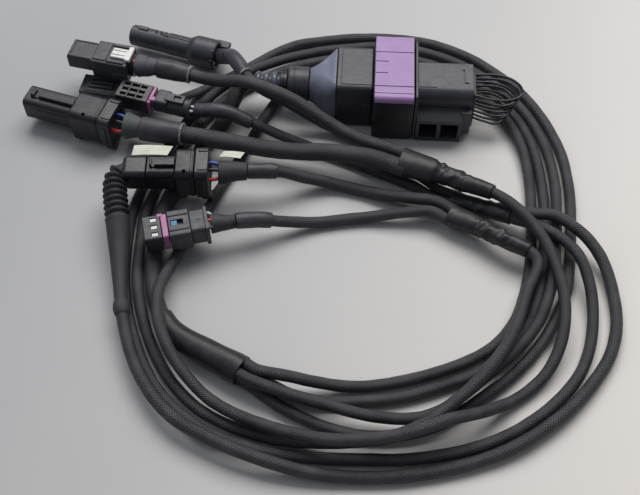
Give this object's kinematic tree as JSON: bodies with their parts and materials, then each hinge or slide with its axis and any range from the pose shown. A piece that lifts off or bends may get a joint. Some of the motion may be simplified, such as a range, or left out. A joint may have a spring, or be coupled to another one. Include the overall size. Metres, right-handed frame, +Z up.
{
  "type": "wiring harness",
  "caption": "Coiled vehicle wiring harness with a large inline connector with a slide lock, braided branches, heat-shrink splices and small sealed connectors.",
  "frame": {"origin": "centre of the flat underside of the main connector's socket housing, on the surface that the harness lies on", "axes": "+Z up; +X from the main connector's cable outlet towards its plug half, within 3 degrees; -Y towards the middle of the coil"},
  "size_m": [0.316, 0.2831, 0.0363],
  "materials": {
    "charcoal_plastic": "matte moulded",
    "black_plastic": "matte moulded",
    "purple_plastic": "matte moulded",
    "white_plastic": "matte moulded",
    "rubber": "satin moulded",
    "heat_shrink": "satin shrunk sleeving",
    "braid": "braided monofilament sleeving",
    "red_wire": "wire insulation",
    "blue_wire": "wire insulation"
  },
  "bodies": {
    "harness": {"main_socket_housing": "black_plastic", "main_rear_cover": "charcoal_plastic", "main_flange": "charcoal_plastic", "main_plug_housing": "charcoal_plastic", "main_jumper_wires": "black_plastic", "main_boot": "rubber", "main_collar": "charcoal_plastic", "main_neck": "rubber", "left_plug_retainer": "black_plastic", "left_plug_collar": "charcoal_plastic", "left_plug_shell": "charcoal_plastic", "left_plug_blue_wire": "blue_wire", "left_plug_red_wire": "red_wire", "left_boot": "rubber", "left_shrink": "heat_shrink", "left_cable": "braid", "lower_plug_retainer": "black_plastic", "lower_plug_collar": "charcoal_plastic", "lower_plug_shell": "charcoal_plastic", "lower_plug_blue_wire": "blue_wire", "lower_plug_red_wire": "red_wire", "lower_boot": "rubber", "lower_shrink": "heat_shrink", "lower_cable": "braid", "moulded_plug": "rubber", "moulded_relief": "rubber", "moulded_cable": "braid", "upper_plug_housing": "charcoal_plastic", "upper_plug_lock": "white_plastic", "upper_plug_seal": "black_plastic", "upper_boot": "rubber", "upper_shrink": "heat_shrink", "upper_cable": "braid", "barrel_plug_barrel": "charcoal_plastic", "barrel_plug_collar": "charcoal_plastic", "barrel_shrink": "heat_shrink", "barrel_cable": "braid", "flat_plug_housing": "black_plastic", "flat_cable": "braid", "slotted_plug_housing": "black_plastic", "slotted_plug_lock": "purple_plastic", "slotted_plug_body": "charcoal_plastic", "slotted_shrink": "heat_shrink", "slotted_cable": "braid", "three_way_housing": "charcoal_plastic", "three_way_lock": "purple_plastic", "three_way_collar": "charcoal_plastic", "three_way_body": "black_plastic", "three_way_boot": "rubber", "three_way_shrink": "heat_shrink", "three_way_cable": "braid", "trunk_cable": "braid", "trunk_splice": "heat_shrink", "branch_1_cable": "braid", "branch_2_cable": "braid", "branch_3_cable": "braid", "top_splice": "heat_shrink", "middle_splice": "heat_shrink", "near_splice": "heat_shrink"},
    "slide_lock": {"main_slide_lock": "purple_plastic"}
  },
  "joints": [
    {"name": "lock_slide", "type": "slide", "parent": "harness", "child": "slide_lock", "axis": [-0.0523, -0.9986, 0], "range_m": [0, 0.01]}
  ]
}
